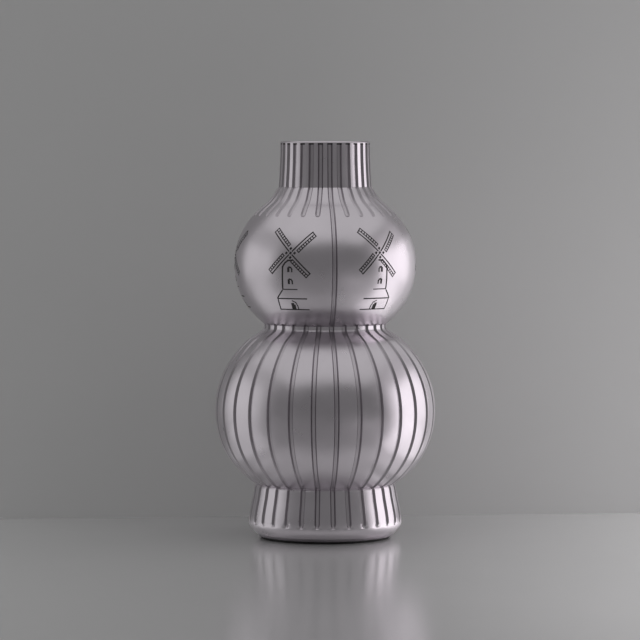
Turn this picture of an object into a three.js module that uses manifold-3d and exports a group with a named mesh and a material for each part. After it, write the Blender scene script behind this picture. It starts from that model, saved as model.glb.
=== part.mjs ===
// A double-gourd plastic vase: a fluted neck, a smooth upper globe, a fluted belly and a fluted foot.
// Each globe is two mirrored half shells that meet in a full-length groove, front and back.
// Millimetres, +Z up. The origin is on the surface the vase stands on, below its axis; the front is -Y.
import * as THREE from "three";
import { mergeVertices } from "three/addons/utils/BufferGeometryUtils.js";
import Module from "manifold-3d";

const wasm = await Module();
wasm.setup();

// Heights of the four tiers, from the foot up
const footHeight = 41.4;
const bellyHeight = 120.7;
const upperHeight = 103.3;
const neckHeight = 34.6;

// Outside radii
const bellyRadius = 83.2;
const upperRadius = 68.6;
const waistRadius = 46;
const rimRadius = 33.8;
const footTopRadius = 53.4;

// How much wider the neck is at its foot than at its rim, how much wider the foot is at its widest than at
// its top, and how far its underside lies inside its top
const neckSpread = 1.4;
const footSpread = 4.4;
const footUndercut = 3.5;

// Each globe's widest height above its lower crease
const bellyMiddle = 55.6;
const upperMiddle = 45.4;

// How full the lower halves are: 2 would make an ellipse, more is squarer
const bellyFullness = 2.1;
const upperFullness = 2.1;

// Flares, where a globe turns up into the tier above it: how far below the crease it starts, how far
// outside the crease it starts, and its outward lean at the crease
const shoulderFlareDepth = 12.9;
const shoulderFlareSpread = 10.1;
const shoulderFlareLean = 36;
const waistFlareDepth = 9.9;
const waistFlareSpread = 10;
const waistFlareLean = 2;
const footLean = 2;

// The foot's lower edge is rolled in below this height, and leans out at the underside by this angle
const footRollHeight = 12;
const footRollLean = 50;

// Walls
const shellWall = 4.4;
const neckWall = 5;
const spigotWall = 2.5;
const waistRingWall = 2.6;
const footWall = 4;
const footSpigotWall = 2.4;
const footFlangeTop = 5;
const footFlangeWidth = 2.1;
const plateThickness = 3;

// Openings between the tiers: how far each lies inside its crease, and how far below the crease above it
// each globe's inner curve ends
const waistLedge = 8.5;
const footLedge = 10.6;
const waistLand = 1.2;
const socketDepth = 8.4;

// Flutes: channels of one width that follow the outside from the rim to the foot
const fluteCount = 30;
const fluteWidth = 3.7;
const fluteFlank = 0.6;
const fluteDepth = 1.3;
const fluteRunOut = 2.6;
const rimBand = 1.6;
const shoulderFluteReach = 22.4;
const waistFluteReach = 2.8;
const footFluteEnd = 11;

// Joints
const jointGap = 0.3;
const spigotLength = 8;
const footSpigotLength = 6;
const footLandHeight = 3;
const waistRingReach = 9;
const tongueThickness = 1;
const tongueLength = 3;

// Seals and the ring the vase stands on
const sealWidth = 2;
const sealHeight = 1.3;
const baseSealHeight = 1;
const sealInset = 2.2;
const standRingWidth = 4.4;
const standRingHeight = 2.6;
const standRingStandOff = 1.7;
const standRingInset = 1.2;

// How finely round stretches are stepped
const latheSegments = 40;
const globeRows = 4;
const flareRows = 3;
const footRows = 3;

const footTop = footHeight;
const waist = footTop + bellyHeight;
const shoulder = waist + upperHeight;
const rim = shoulder + neckHeight;
const shoulderRadius = rimRadius + neckSpread;
const footRadius = footTopRadius + footSpread;
const footUndersideRadius = footTopRadius - footUndercut;
const past = 5;
const degrees = Math.PI / 180;

// Openings that the spigots and the waist ring fit
const neckBoreRadius = rimRadius - neckWall;
const neckSocketRadius = neckBoreRadius + spigotWall + jointGap;
const waistOpening = waistRadius - waistLedge;
const footOpening = footTopRadius - footLedge;
const footSpigotRadius = footOpening - jointGap;
const footSpigotBore = footSpigotRadius - footSpigotWall;
const footBoreRadius = footSpigotBore - footFlangeWidth;
const plateRadius = footSpigotBore - jointGap;
const plateBottom = footFlangeTop + baseSealHeight + 2 * jointGap;
const plateTop = plateBottom + plateThickness;

// A globe through two circles, a low and a high one: half an ellipsoid above its widest height, and a
// fuller half below it.
function globeThrough(low, middle, radius, high, fullness) {
  const drop = (middle - low.height) / (1 - (low.radius / radius) ** fullness) ** (1 / fullness);
  const crown = (high.height - middle) / Math.sqrt(1 - (high.radius / radius) ** 2);
  return { radius, middle, crown, drop, fullness };
}

const bellyMiddleHeight = footTop + bellyMiddle;
const upperMiddleHeight = waist + upperMiddle;
const waistFlareStart = { height: waist - waistFlareDepth, radius: waistRadius + waistFlareSpread };
const shoulderFlareStart = {
  height: shoulder - shoulderFlareDepth,
  radius: shoulderRadius + shoulderFlareSpread,
};
const belly = globeThrough(
  { height: footTop, radius: footTopRadius },
  bellyMiddleHeight,
  bellyRadius,
  waistFlareStart,
  bellyFullness,
);
const upper = globeThrough(
  { height: waist, radius: waistRadius },
  upperMiddleHeight,
  upperRadius,
  shoulderFlareStart,
  upperFullness,
);
const bellyInside = globeThrough(
  { height: footTop, radius: footOpening },
  bellyMiddleHeight,
  bellyRadius - shellWall,
  { height: waist - waistLand, radius: waistOpening },
  bellyFullness,
);
const upperInside = globeThrough(
  { height: waist, radius: waistOpening },
  upperMiddleHeight,
  upperRadius - shellWall,
  { height: shoulder - socketDepth, radius: neckSocketRadius },
  upperFullness,
);

// The globe's radius at a height.
function globeRadius(globe, height) {
  const rise = height - globe.middle;
  const half = rise > 0 ? globe.crown : globe.drop;
  const power = rise > 0 ? 2 : globe.fullness;
  return globe.radius * (1 - (Math.abs(rise) / half) ** power) ** (1 / power);
}

// How fast the globe's radius grows with height, in its upper half.
function globeSlope(globe, height) {
  const ratio = (globe.radius / globe.crown) ** 2;
  return (-ratio * (height - globe.middle)) / globeRadius(globe, height);
}

// A smooth radius between two heights, with a given growth per height at each end.
function smoothRadius(height, from, to) {
  const span = to.height - from.height;
  const t = (height - from.height) / span;
  const start = 2 * t ** 3 - 3 * t ** 2 + 1;
  const startGrowth = t ** 3 - 2 * t ** 2 + t;
  const endGrowth = t ** 3 - t ** 2;
  return (
    start * from.radius +
    (1 - start) * to.radius +
    span * (startGrowth * from.slope + endGrowth * to.slope)
  );
}

// A globe whose top flares up to a crease.
function flaredRadius(globe, height, flareStart, crease, creaseRadius, lean) {
  if (height <= flareStart.height) return globeRadius(globe, height);
  const from = { ...flareStart, slope: globeSlope(globe, flareStart.height) };
  const to = { height: crease, radius: creaseRadius, slope: -Math.tan(lean * degrees) };
  return smoothRadius(height, from, to);
}

const bellyOutside = (z) =>
  flaredRadius(belly, z, waistFlareStart, waist, waistRadius, waistFlareLean);
const upperOutside = (z) =>
  flaredRadius(upper, z, shoulderFlareStart, shoulder, shoulderRadius, shoulderFlareLean);
const neckOutside = (z) =>
  rimRadius + (shoulderRadius - rimRadius) * ((rim - z) / neckHeight) ** 2;

// The foot widens from the belly down to its widest height, then rolls in to its underside.
function footOutside(z) {
  const widest = { height: footRollHeight, radius: footRadius, slope: 0 };
  if (z >= footRollHeight) {
    const top = { height: footTop, radius: footTopRadius, slope: -Math.tan(footLean * degrees) };
    return smoothRadius(z, widest, top);
  }
  const slope = Math.tan(footRollLean * degrees);
  const underside = { height: standRingStandOff, radius: footUndersideRadius, slope };
  return smoothRadius(z, underside, widest);
}

// The space inside each globe
const upperSpace = cavityProfile(
  upperInside, waist, waistOpening, 0, shoulder - socketDepth, neckSocketRadius, shoulder,
);
const bellySpace = cavityProfile(
  bellyInside, footTop, footOpening, footLandHeight, waist - waistLand, waistOpening, waist,
);

// A height at which the depth of a flute changes from nothing to full, and the height where it is full.
function depthBetween(z, none, full) {
  const share = (z - none) / (full - none);
  return fluteDepth * Math.min(1, Math.max(0, share));
}

// The seams run in the flutes that face straight forward and straight back.
const fluteAngle = (flute) => (flute * 2 * Math.PI) / fluteCount - Math.PI / 2;
const onSeam = (flute) => Math.abs(Math.cos(fluteAngle(flute))) < 1e-9;

const shoulderFluteEnd = shoulder - shoulderFluteReach;
const waistFluteEnd = waist + waistFluteReach;
const fullDepth = () => fluteDepth;
const upperDepth = (z, flute) =>
  onSeam(flute)
    ? fluteDepth
    : Math.max(
        depthBetween(z, shoulderFluteEnd, shoulderFluteEnd + fluteRunOut),
        depthBetween(z, waistFluteEnd, waist),
      );
const footDepth = (z) => depthBetween(z, footFluteEnd, footFluteEnd + fluteRunOut);
const neckDepth = (z) => (z < rim - rimBand - jointGap / 4 ? fluteDepth : 0);

// Turns a closed geometry into a solid that can be joined and cut.
function solidOf(geometry) {
  const bare = geometry.clone();
  bare.deleteAttribute("normal");
  bare.deleteAttribute("uv");
  const merged = mergeVertices(bare);
  return new wasm.Manifold(
    new wasm.Mesh({
      numProp: 3,
      vertProperties: new Float32Array(merged.attributes.position.array),
      triVerts: new Uint32Array(merged.index.array),
    }),
  );
}

// Turns a solid back into a geometry.
function geometryOf(solid) {
  const made = solid.getMesh();
  const geometry = new THREE.BufferGeometry();
  geometry.setAttribute("position", new THREE.BufferAttribute(made.vertProperties, 3));
  geometry.setIndex(new THREE.BufferAttribute(made.triVerts, 1));
  return geometry;
}

// A solid turned about +Z from [radius, height] corners, in counter-clockwise order.
function turned(corners) {
  const closed = corners[0][0] === 0 ? corners : [...corners, corners[0]];
  const profile = closed.map(([radius, height]) => new THREE.Vector2(radius, height));
  const geometry = new THREE.LatheGeometry(profile, latheSegments);
  return solidOf(geometry.rotateX(Math.PI / 2));
}

// A rectangular ring, or a disc, between two radii and two heights.
const ring = (inner, outer, low, high) =>
  turned([
    [inner, low],
    [outer, low],
    [outer, high],
    [inner, high],
  ]);

// A solid body whose outside is fluted: a ring of points at each height, and a fan over each end.
function flutedBody(heights, outside, depthAt) {
  const points = [];
  for (const z of heights) {
    const radius = outside(z);
    const edge = fluteWidth / 2 / radius;
    const floor = (fluteWidth / 2 - fluteFlank) / radius;
    for (let flute = 0; flute < fluteCount; flute++) {
      const depth = depthAt(z, flute);
      for (const [turn, inward] of [[-edge, 0], [-floor, depth], [floor, depth], [edge, 0]]) {
        const angle = fluteAngle(flute) + turn;
        points.push((radius - inward) * Math.cos(angle), (radius - inward) * Math.sin(angle), z);
      }
    }
  }
  const columns = fluteCount * 4;
  const bottomCentre = points.length / 3;
  points.push(0, 0, heights[0]);
  const topCentre = bottomCentre + 1;
  points.push(0, 0, heights.at(-1));
  const lastRow = (heights.length - 1) * columns;
  const faces = [];
  for (let column = 0; column < columns; column++) {
    const next = (column + 1) % columns;
    faces.push(bottomCentre, next, column, topCentre, lastRow + column, lastRow + next);
    for (let row = 0; row < lastRow; row += columns) {
      faces.push(row + column, row + next, row + columns + next);
      faces.push(row + column, row + columns + next, row + columns + column);
    }
  }
  const geometry = new THREE.BufferGeometry();
  geometry.setAttribute("position", new THREE.Float32BufferAttribute(points, 3));
  geometry.setIndex(faces);
  return solidOf(geometry);
}

// Heights from one to another along a globe, by way of its widest, evenly spaced round its curve.
function globeHeights(globe, low, high) {
  const lowAngle = Math.asin((low - globe.middle) / globe.drop);
  const highAngle = Math.asin((high - globe.middle) / globe.crown);
  const heights = [globe.middle];
  for (let step = 1; step <= globeRows; step++) {
    heights.unshift(globe.middle + globe.drop * Math.sin((lowAngle * step) / globeRows));
    heights.push(globe.middle + globe.crown * Math.sin((highAngle * step) / globeRows));
  }
  return heights;
}

// Heights from one to another, evenly spaced.
function evenHeights(low, high, count) {
  return Array.from({ length: count + 1 }, (_, step) => low + ((high - low) * step) / count);
}

// Joins runs of heights into one rising list, without near repeats.
function risingHeights(...runs) {
  const sorted = runs.flat().sort((a, b) => a - b);
  return sorted.filter((z, index) => index === 0 || z - sorted[index - 1] > jointGap / 10);
}

// The profile of the space inside a shell: its inner curve, opened straight past each end.
function cavityProfile(globe, low, lowRadius, lowLand, curveTop, highRadius, high) {
  const curve = globeHeights(globe, low + lowLand, curveTop)
    .slice(lowLand > 0 ? 0 : 1)
    .map((z) => [globeRadius(globe, z), z]);
  return [
    [0, low - past],
    [lowRadius, low - past],
    [lowRadius, low + lowLand],
    ...curve,
    [highRadius, high + past],
    [0, high + past],
  ];
}

// The same profile moved outward by a distance everywhere, with its two ends kept on the axis.
function grown(profile, distance) {
  const normal = ([fromR, fromZ], [toR, toZ]) => {
    const length = Math.hypot(toR - fromR, toZ - fromZ);
    return [(toZ - fromZ) / length, (fromR - toR) / length];
  };
  return profile.map(([radius, z], index) => {
    if (index === 0) return [0, z - distance];
    if (index === profile.length - 1) return [0, z + distance];
    const before = normal(profile[index - 1], [radius, z]);
    const after = normal([radius, z], profile[index + 1]);
    const share = distance / (1 + before[0] * after[0] + before[1] * after[1]);
    return [radius + (before[0] + after[0]) * share, z + (before[1] + after[1]) * share];
  });
}

// A box between two x values that is larger than the vase every other way.
function slab(fromX, toX) {
  const reach = 2 * rim;
  const geometry = new THREE.BoxGeometry(toX - fromX, reach, reach);
  geometry.translate((fromX + toX) / 2, 0, rim / 2);
  return solidOf(geometry);
}

// Two half shells with a lapped seam: a tongue on the left half's inside runs behind the right half's edge.
function halves(body, space) {
  const reach = 2 * rim;
  const skin = (thickness, toX) => turned(grown(space, thickness)).intersect(slab(-tongueLength, toX));
  const shell = body.subtract(turned(space));
  const tongue = shell.intersect(skin(tongueThickness, tongueLength));
  const left = shell.intersect(slab(-reach, -jointGap / 2)).add(tongue);
  const rebate = skin(tongueThickness + jointGap, tongueLength + jointGap);
  const right = shell.intersect(slab(jointGap / 2, reach)).subtract(rebate);
  return { left, right };
}

function makeNeckCollar() {
  const low = shoulder + jointGap / 2;
  const bandBottom = rim - rimBand;
  const heights = risingHeights(
    evenHeights(low, bandBottom - jointGap / 2, 2),
    [bandBottom, rim - rimBand / 4, rim],
  );
  const outside = (z) => neckOutside(z) - Math.max(0, z - (rim - rimBand / 4)) * 3;
  const body = flutedBody(heights, outside, neckDepth);
  const spigot = turned([
    [0, shoulder - spigotLength],
    [neckBoreRadius + spigotWall, shoulder - spigotLength],
    [neckBoreRadius + spigotWall, low + past],
    [0, low + past],
  ]);
  const bore = turned([
    [0, shoulder - spigotLength - past],
    [neckBoreRadius, shoulder - spigotLength - past],
    [neckBoreRadius, rim - rimBand / 2],
    [neckBoreRadius + rimBand / 2, rim],
    [neckBoreRadius + rimBand / 2, rim + past],
    [0, rim + past],
  ]);
  return body.add(spigot).subtract(bore);
}

function makeUpperGlobe() {
  const low = waist + jointGap / 2;
  const high = shoulder - jointGap / 2;
  const heights = risingHeights(
    [low, waistFluteEnd],
    globeHeights(upper, waistFluteEnd, shoulderFluteEnd),
    [shoulderFluteEnd + fluteRunOut],
    evenHeights(shoulderFlareStart.height, high, flareRows),
  );
  const body = flutedBody(heights, upperOutside, upperDepth);
  return halves(body, upperSpace);
}

function makeBelly() {
  const low = footTop + jointGap / 2;
  const high = waist - jointGap / 2;
  const heights = risingHeights(
    globeHeights(belly, low, waistFlareStart.height),
    evenHeights(waistFlareStart.height, high, flareRows),
  );
  const body = flutedBody(heights, bellyOutside, fullDepth);
  const sealGroove = ring(
    waistOpening + sealInset,
    waistOpening + sealInset + sealWidth + 2 * jointGap,
    high - sealHeight,
    high + past,
  );
  const { left, right } = halves(body, bellySpace);
  return { left: left.subtract(sealGroove), right: right.subtract(sealGroove) };
}

// The hourglass ring inside the waist that all four half shells close onto.
function makeWaistRing() {
  const fill = (shrink) =>
    turned(grown(bellySpace, -shrink)).add(turned(grown(upperSpace, -shrink)));
  const band = ring(0, bellyRadius, waist - waistRingReach, waist + waistRingReach);
  return fill(jointGap).subtract(fill(jointGap + waistRingWall)).intersect(band);
}

function makeFootRing() {
  const high = footTop - jointGap / 2;
  const heights = risingHeights(
    [standRingStandOff, footFluteEnd / 2, footFluteEnd],
    [footFluteEnd + fluteRunOut],
    evenHeights(footFluteEnd + fluteRunOut, high, footRows),
  );
  const body = flutedBody(heights, footOutside, footDepth);
  const spigot = turned([
    [0, high - past],
    [footSpigotRadius, high - past],
    [footSpigotRadius, footTop + footSpigotLength],
    [0, footTop + footSpigotLength],
  ]);
  const seatTop = plateTop + 2;
  const hollowLow = seatTop + footWall;
  const hollowHigh = footTop - 2 * footWall;
  const space = turned([
    [0, footFlangeTop],
    [footSpigotBore, footFlangeTop],
    [footSpigotBore, seatTop],
    [footOutside(hollowLow) - footWall - fluteDepth, hollowLow],
    [footOutside(hollowHigh) - footWall - fluteDepth, hollowHigh],
    [footSpigotBore, footTop - footWall / 2],
    [footSpigotBore, footTop + footSpigotLength + past],
    [0, footTop + footSpigotLength + past],
  ]);
  const bore = turned([
    [0, -past],
    [footBoreRadius, -past],
    [footBoreRadius, footFlangeTop + past],
    [0, footFlangeTop + past],
  ]);
  const standGroove = ring(
    standRingOuter() - standRingWidth - jointGap,
    standRingOuter() + jointGap,
    -past,
    standRingHeight + jointGap,
  );
  const sealGroove = ring(
    footOpening + sealInset,
    footOpening + sealInset + sealWidth + 2 * jointGap,
    high - sealHeight,
    high + past,
  );
  return body.add(spigot).subtract(space).subtract(bore).subtract(standGroove).subtract(sealGroove);
}

// The stand ring's outer radius, set in from the edge of the foot's underside.
function standRingOuter() {
  return footUndersideRadius - standRingInset;
}

// A square-section seal that fills its groove up to the piece above it, but for the clearance.
function makeFaceSeal(openingRadius, crease) {
  const inner = openingRadius + sealInset + jointGap;
  const bottom = crease - jointGap / 2 - sealHeight + jointGap;
  return ring(inner, inner + sealWidth, bottom, crease - jointGap / 2);
}

const makeStandRing = () =>
  ring(standRingOuter() - standRingWidth, standRingOuter(), 0, standRingHeight);

const makeBaseSeal = () =>
  ring(
    footBoreRadius + jointGap,
    plateRadius - jointGap,
    footFlangeTop + jointGap,
    footFlangeTop + jointGap + baseSealHeight,
  );

// The floor of the vase, with a broken upper edge.
const makeBasePlate = () =>
  turned([
    [0, plateBottom],
    [plateRadius, plateBottom],
    [plateRadius, plateTop - plateThickness / 4],
    [plateRadius - plateThickness / 4, plateTop],
    [0, plateTop],
  ]);

const silver = () => new THREE.MeshStandardMaterial({ color: 0x9a959a, metalness: 0.85, roughness: 0.3 });
const innerPlastic = () => new THREE.MeshStandardMaterial({ color: 0x8b878b, metalness: 0.1, roughness: 0.5 });
const rubber = () => new THREE.MeshStandardMaterial({ color: 0x141315, metalness: 0, roughness: 0.8 });

const vase = new THREE.Group();

function addPiece(name, solid, material) {
  const mesh = new THREE.Mesh(geometryOf(solid), material);
  mesh.name = name;
  vase.add(mesh);
}

const upperGlobe = makeUpperGlobe();
const bellyShell = makeBelly();

addPiece("neck_collar", makeNeckCollar(), silver());
addPiece("upper_globe_left", upperGlobe.left, silver());
addPiece("upper_globe_right", upperGlobe.right, silver());
addPiece("waist_ring", makeWaistRing(), innerPlastic());
addPiece("waist_seal", makeFaceSeal(waistOpening, waist), rubber());
addPiece("belly_left", bellyShell.left, silver());
addPiece("belly_right", bellyShell.right, silver());
addPiece("foot_seal", makeFaceSeal(footOpening, footTop), rubber());
addPiece("foot_ring", makeFootRing(), silver());
addPiece("base_seal", makeBaseSeal(), rubber());
addPiece("base_plate", makeBasePlate(), innerPlastic());
addPiece("stand_ring", makeStandRing(), rubber());

export default vase;
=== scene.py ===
"""The looks of a double-gourd vase in silver plastic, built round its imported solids.

Lengths are millimetres until a mesh is made, which is in metres. +Z is up and the front is -Y.
"""

import math

import bpy
import numpy as np
from mathutils import Euler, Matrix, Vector
from mathutils.geometry import delaunay_2d_cdt


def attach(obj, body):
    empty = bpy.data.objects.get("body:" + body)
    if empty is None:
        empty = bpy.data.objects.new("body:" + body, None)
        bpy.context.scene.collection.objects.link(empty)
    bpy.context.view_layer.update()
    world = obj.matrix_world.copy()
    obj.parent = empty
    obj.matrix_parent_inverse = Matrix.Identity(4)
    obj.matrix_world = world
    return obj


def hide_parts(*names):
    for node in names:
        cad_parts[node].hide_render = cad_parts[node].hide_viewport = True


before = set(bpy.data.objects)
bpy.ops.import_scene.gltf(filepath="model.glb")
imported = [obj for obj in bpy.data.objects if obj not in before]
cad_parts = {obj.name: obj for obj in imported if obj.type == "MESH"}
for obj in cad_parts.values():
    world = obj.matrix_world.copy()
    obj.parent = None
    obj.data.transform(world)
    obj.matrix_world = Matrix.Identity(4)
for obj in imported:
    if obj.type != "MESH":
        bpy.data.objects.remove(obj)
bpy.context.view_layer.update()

MM = 0.001

# Heights and radii of the vase, as its solids have them
FOOT_TOP = 41.4
BELLY_HEIGHT = 120.7
UPPER_HEIGHT = 103.3
NECK_HEIGHT = 34.6
WAIST = FOOT_TOP + BELLY_HEIGHT
SHOULDER = WAIST + UPPER_HEIGHT
RIM = SHOULDER + NECK_HEIGHT
RIM_RADIUS = 33.8
SHOULDER_RADIUS = 35.2
SHOULDER_FLARE = {"depth": 12.9, "spread": 10.1, "lean": 36}
UPPER_RADIUS = 68.6
UPPER_MIDDLE = WAIST + 45.4
UPPER_FULLNESS = 2.1
WAIST_RADIUS = 46.0
WAIST_FLARE = {"depth": 9.9, "spread": 10, "lean": 2}
BELLY_RADIUS = 83.2
BELLY_MIDDLE = FOOT_TOP + 55.6
BELLY_FULLNESS = 2.1
FOOT_TOP_RADIUS = 53.4
FOOT_RADIUS = 57.8
FOOT_UNDERSIDE_RADIUS = 49.9
FOOT_UNDERSIDE = 1.7
FOOT_ROLL_HEIGHT = 12
FOOT_ROLL_LEAN = 50
FOOT_LEAN = 2

# Walls, openings and fits, as the solids have them
SHELL_WALL = 4.4
NECK_BORE_RADIUS = 28.8
NECK_SPIGOT_RADIUS = 31.3
NECK_SPIGOT_LENGTH = 8
NECK_SOCKET_RADIUS = 31.6
NECK_SOCKET_DEPTH = 8.4
WAIST_OPENING = 37.5
WAIST_LAND = 1.2
FOOT_OPENING = 42.8
FOOT_SPIGOT_WALL = 2.4
FOOT_SPIGOT_LENGTH = 6
FOOT_SPIGOT_ROOT = 2
FOOT_LAND = 3
FOOT_WALL = 5.3
FOOT_FLANGE_TOP = 5
FOOT_BORE_RADIUS = 38
FOOT_POCKET = (15.6, 33.4)
STAND_GROOVE = (44.0, 49.0)
STAND_RING_HEIGHT = 2.6
BASE_TOP = 11.6
FIT_CLEARANCE = 0.3

# Gaps left at each end and each seam of a skin, narrower than the solids' own
PIECE_GAP = 0.05
SEAM_HALF_GAP = 0.05

# Shapes that only the looks have: the band below the waist, the foot's top edge and the rounded rims
WAIST_BAND = {"depth": 3.0, "spread": 0.25, "lean": 19}
WAIST_TURN = 12
FOOT_EDGE = 2.3
FOOT_EDGE_INSET = 1.05
FOOT_EDGE_SHARES = (0.0, 0.25, 0.5, 1.0)
FOOT_EDGE_CURVE = 1.3
FOOT_EDGE_CLEARANCE = 0.2
LIP_HEIGHT = 1.6
# LIP_SHADE is the height under the lip band of the flutes' ends in painted shade
LIP_SHADE = 1.1
LIP_STEP = 0.02
LIP_ROUND = 1.5
LIP_ROUND_STEPS = 7
MOUTH_ROUND = 0.9
MOUTH_EASE = 0.2
BORE_TOP = 3
STAND_RING_ROUND = 0.4

# Flutes. Columns are shares of the half width from a flute's middle.
FLUTES = 30
FLUTE_HALF_WIDTH = 2.0
FLUTE_DEPTH = 1.7
FLUTE_FLOOR_SHARE = 0.52
FLUTE_COLUMNS = (-1.08, -1.0, -0.76, -FLUTE_FLOOR_SHARE, 0.0, FLUTE_FLOOR_SHARE, 0.76, 1.0, 1.08)
SHOULDER_FLUTE_TIP = 243.0
WAIST_FLUTE_TIP = WAIST + 2.1
FOOT_FLUTE_TIP = 11.6

# A flute's tapered end: its widths are shares of the flute's, its rows and its painted shade of its length
FLUTE_TIP_LENGTH = 4.0
FLUTE_TIP_SHADE = 0.8
TIP_TAPER = 1.8
TIP_WIDTH = 0.12
TIP_SPREAD = 0.25
TIP_ROW_SHARES = (0, 0.2, 0.4, 0.58, 0.74, 0.87, 0.96, 1.0)
ROW_PAST_TIP = 1.2

# Further than any length along the vase, and a reach across a flute that lies on no flute
FAR = 1e3
OFF_FLUTE = 9.0

# Density of the meshes
ROW_STEP = 2.4
ROW_CLEARANCE = 0.35
WAIST_ROW_STEP = 0.8
RIB_COLUMNS = 4
NECK_ROWS = 14
BORE_ROWS = 12
INSIDE_ROWS = 26
STAND_RING_SIDES = 180
CURVE_SAMPLES = 900
SLOPE_STEP = 0.02
SHARP_ANGLE = 32

# Engraved tower mills, in degrees from the front seam, and in millimetres across and up from the hub
MILL_TURNS = (29.5, 90, 150.5)
MILL_SHIFT = 1.2
MILL_HUB = 217.5
MILL_REACH = 18
MILL_PATCH = (168.5, 237.5)
SAIL_TURN = 45.5
SPAR_START = 2.0
LATTICE_START = 4.9
SAIL_END = 21.5
SAIL_RAILS = (-2.1, -4.2)
SAIL_RUNGS = 9
WINDOW_MIDDLES = (-12.1, -21.0)
HUB_MARK_OFFSET = 3.3
DIAMOND = np.array([0.1, 0.1])

# Half widths of the mills' lines, and how they are cut
THICK_LINE = 0.62
MIDDLE_LINE = 0.5
THIN_LINE = 0.39
DOOR_SHADOW_LINE = 0.76
DOOR_ARCH_LINE = 0.42
WINDOW_SIDE_LINE = 0.88
WINDOW_ARCH_LINE = 0.55
HUB_MARK_LINE = 0.82
HUB_LINE = 0.85
LINE_DEPTH = 0.45
LINE_BEVEL = 0.12
LEAST_CUT = 0.2
LONGEST_STROKE = 2.2
SUPPORT_STEP = 2.6
SUPPORT_CLEARANCE = 0.5
SAME_POINT = 1e-4

# Material slots of the skins. The flute wall and flute floor slots take darker copies of the silver, as
# painted shade; the last slot takes the near black of the mills' cut lines and of the painted shade under
# the neck's lip.
PLAIN, FLUTE_WALL, FLUTE_FLOOR, ENGRAVED_AND_SHADE = 0, 1, 2, 3


# Outside curves
def smooth_radius(z, low, high):
    """A smooth radius between two (height, radius, growth per height) ends."""
    span = high[0] - low[0]
    t = (z - low[0]) / span
    start = 2 * t**3 - 3 * t**2 + 1
    growth = (t**3 - 2 * t**2 + t) * low[2] + (t**3 - t**2) * high[2]
    return start * low[1] + (1 - start) * high[1] + span * growth


def globe_through(low, low_radius, middle, radius, high, high_radius, fullness):
    """A globe through a low and a high circle: half an ellipsoid above its widest, a fuller half below."""
    drop = (middle - low) / (1 - (low_radius / radius) ** fullness) ** (1 / fullness)
    crown = (high - middle) / math.sqrt(1 - (high_radius / radius) ** 2)
    return {"radius": radius, "middle": middle, "crown": crown, "drop": drop, "fullness": fullness}


BELLY = globe_through(
    FOOT_TOP, FOOT_TOP_RADIUS, BELLY_MIDDLE, BELLY_RADIUS,
    WAIST - WAIST_FLARE["depth"], WAIST_RADIUS + WAIST_FLARE["spread"], BELLY_FULLNESS,
)
UPPER = globe_through(
    WAIST, WAIST_RADIUS, UPPER_MIDDLE, UPPER_RADIUS,
    SHOULDER - SHOULDER_FLARE["depth"], SHOULDER_RADIUS + SHOULDER_FLARE["spread"], UPPER_FULLNESS,
)
BELLY_INSIDE = globe_through(
    FOOT_TOP, FOOT_OPENING, BELLY_MIDDLE, BELLY_RADIUS - SHELL_WALL,
    WAIST - WAIST_LAND, WAIST_OPENING, BELLY_FULLNESS,
)
UPPER_INSIDE = globe_through(
    WAIST, WAIST_OPENING, UPPER_MIDDLE, UPPER_RADIUS - SHELL_WALL,
    SHOULDER - NECK_SOCKET_DEPTH, NECK_SOCKET_RADIUS, UPPER_FULLNESS,
)


def globe_radius(globe, z):
    rise = np.asarray(z, float) - globe["middle"]
    half = np.where(rise > 0, globe["crown"], globe["drop"])
    power = np.where(rise > 0, 2.0, globe["fullness"])
    share = np.minimum(np.abs(rise) / half, 1)
    return globe["radius"] * (1 - share**power) ** (1 / power)


def globe_end(globe, z):
    """A height on the upper half of a globe, with its radius and growth per height."""
    radius = float(globe_radius(globe, z))
    return z, radius, -((globe["radius"] / globe["crown"]) ** 2) * (z - globe["middle"]) / radius


def lean_growth(lean):
    return -math.tan(math.radians(lean))


def neck_outside(z):
    return RIM_RADIUS + (SHOULDER_RADIUS - RIM_RADIUS) * ((RIM - z) / (RIM - SHOULDER)) ** 2


def upper_outside(z):
    """The upper globe turns up to the shoulder's crease."""
    low = globe_end(UPPER, SHOULDER - SHOULDER_FLARE["depth"])
    high = (SHOULDER, SHOULDER_RADIUS, lean_growth(SHOULDER_FLARE["lean"]))
    return np.where(z <= low[0], globe_radius(UPPER, z), smooth_radius(z, low, high))


def belly_outside(z):
    """The belly turns up sharply below the waist, into a short near-upright band."""
    low = globe_end(BELLY, WAIST - WAIST_TURN)
    band_radius = WAIST_RADIUS + WAIST_BAND["spread"]
    band = (WAIST - WAIST_BAND["depth"], band_radius, lean_growth(WAIST_BAND["lean"]))
    high = (WAIST, WAIST_RADIUS, lean_growth(WAIST_FLARE["lean"]))
    turned = np.where(z <= band[0], smooth_radius(z, low, band), smooth_radius(z, band, high))
    return np.where(z <= low[0], globe_radius(BELLY, z), turned)


def foot_outside(z):
    """The foot widens downward to its widest height, then rolls in to its underside."""
    widest = (FOOT_ROLL_HEIGHT, FOOT_RADIUS, 0)
    top = (FOOT_TOP, FOOT_TOP_RADIUS, lean_growth(FOOT_LEAN))
    underside = (FOOT_UNDERSIDE, FOOT_UNDERSIDE_RADIUS, -lean_growth(FOOT_ROLL_LEAN))
    flare = smooth_radius(z, widest, top)
    return np.where(z >= FOOT_ROLL_HEIGHT, flare, smooth_radius(z, underside, widest))


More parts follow.
